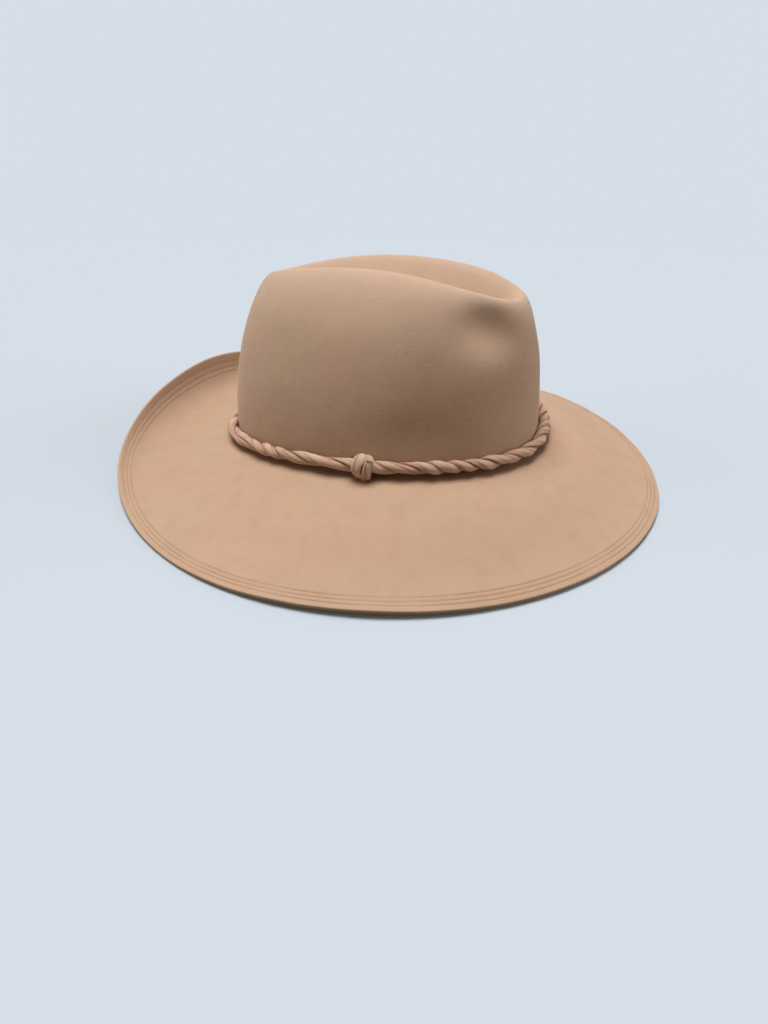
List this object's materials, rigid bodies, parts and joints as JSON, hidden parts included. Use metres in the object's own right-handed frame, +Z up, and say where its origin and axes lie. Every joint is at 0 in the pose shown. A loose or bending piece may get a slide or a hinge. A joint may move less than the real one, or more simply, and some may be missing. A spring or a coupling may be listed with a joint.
{
  "type": "wide-brim hat",
  "caption": "Felt hat with a creased, pinched crown, a wide brim turned up behind, and a twisted leather band knotted at the side.",
  "frame": {"origin": "on the surface the hat rests on, under the middle of the brim", "axes": "+Z up, the wearer faces -Y, the wearer's left is +X"},
  "size_m": [0.3456, 0.3546, 0.1248],
  "materials": {
    "felt": "matt tan felt with a short nap, darker mottling and faint flecks",
    "band_leather": "soft tan suede strip with darker creases"
  },
  "bodies": {
    "root": {"felt_body": "felt", "twisted_band": "band_leather", "knot": "band_leather"}
  },
  "joints": []
}
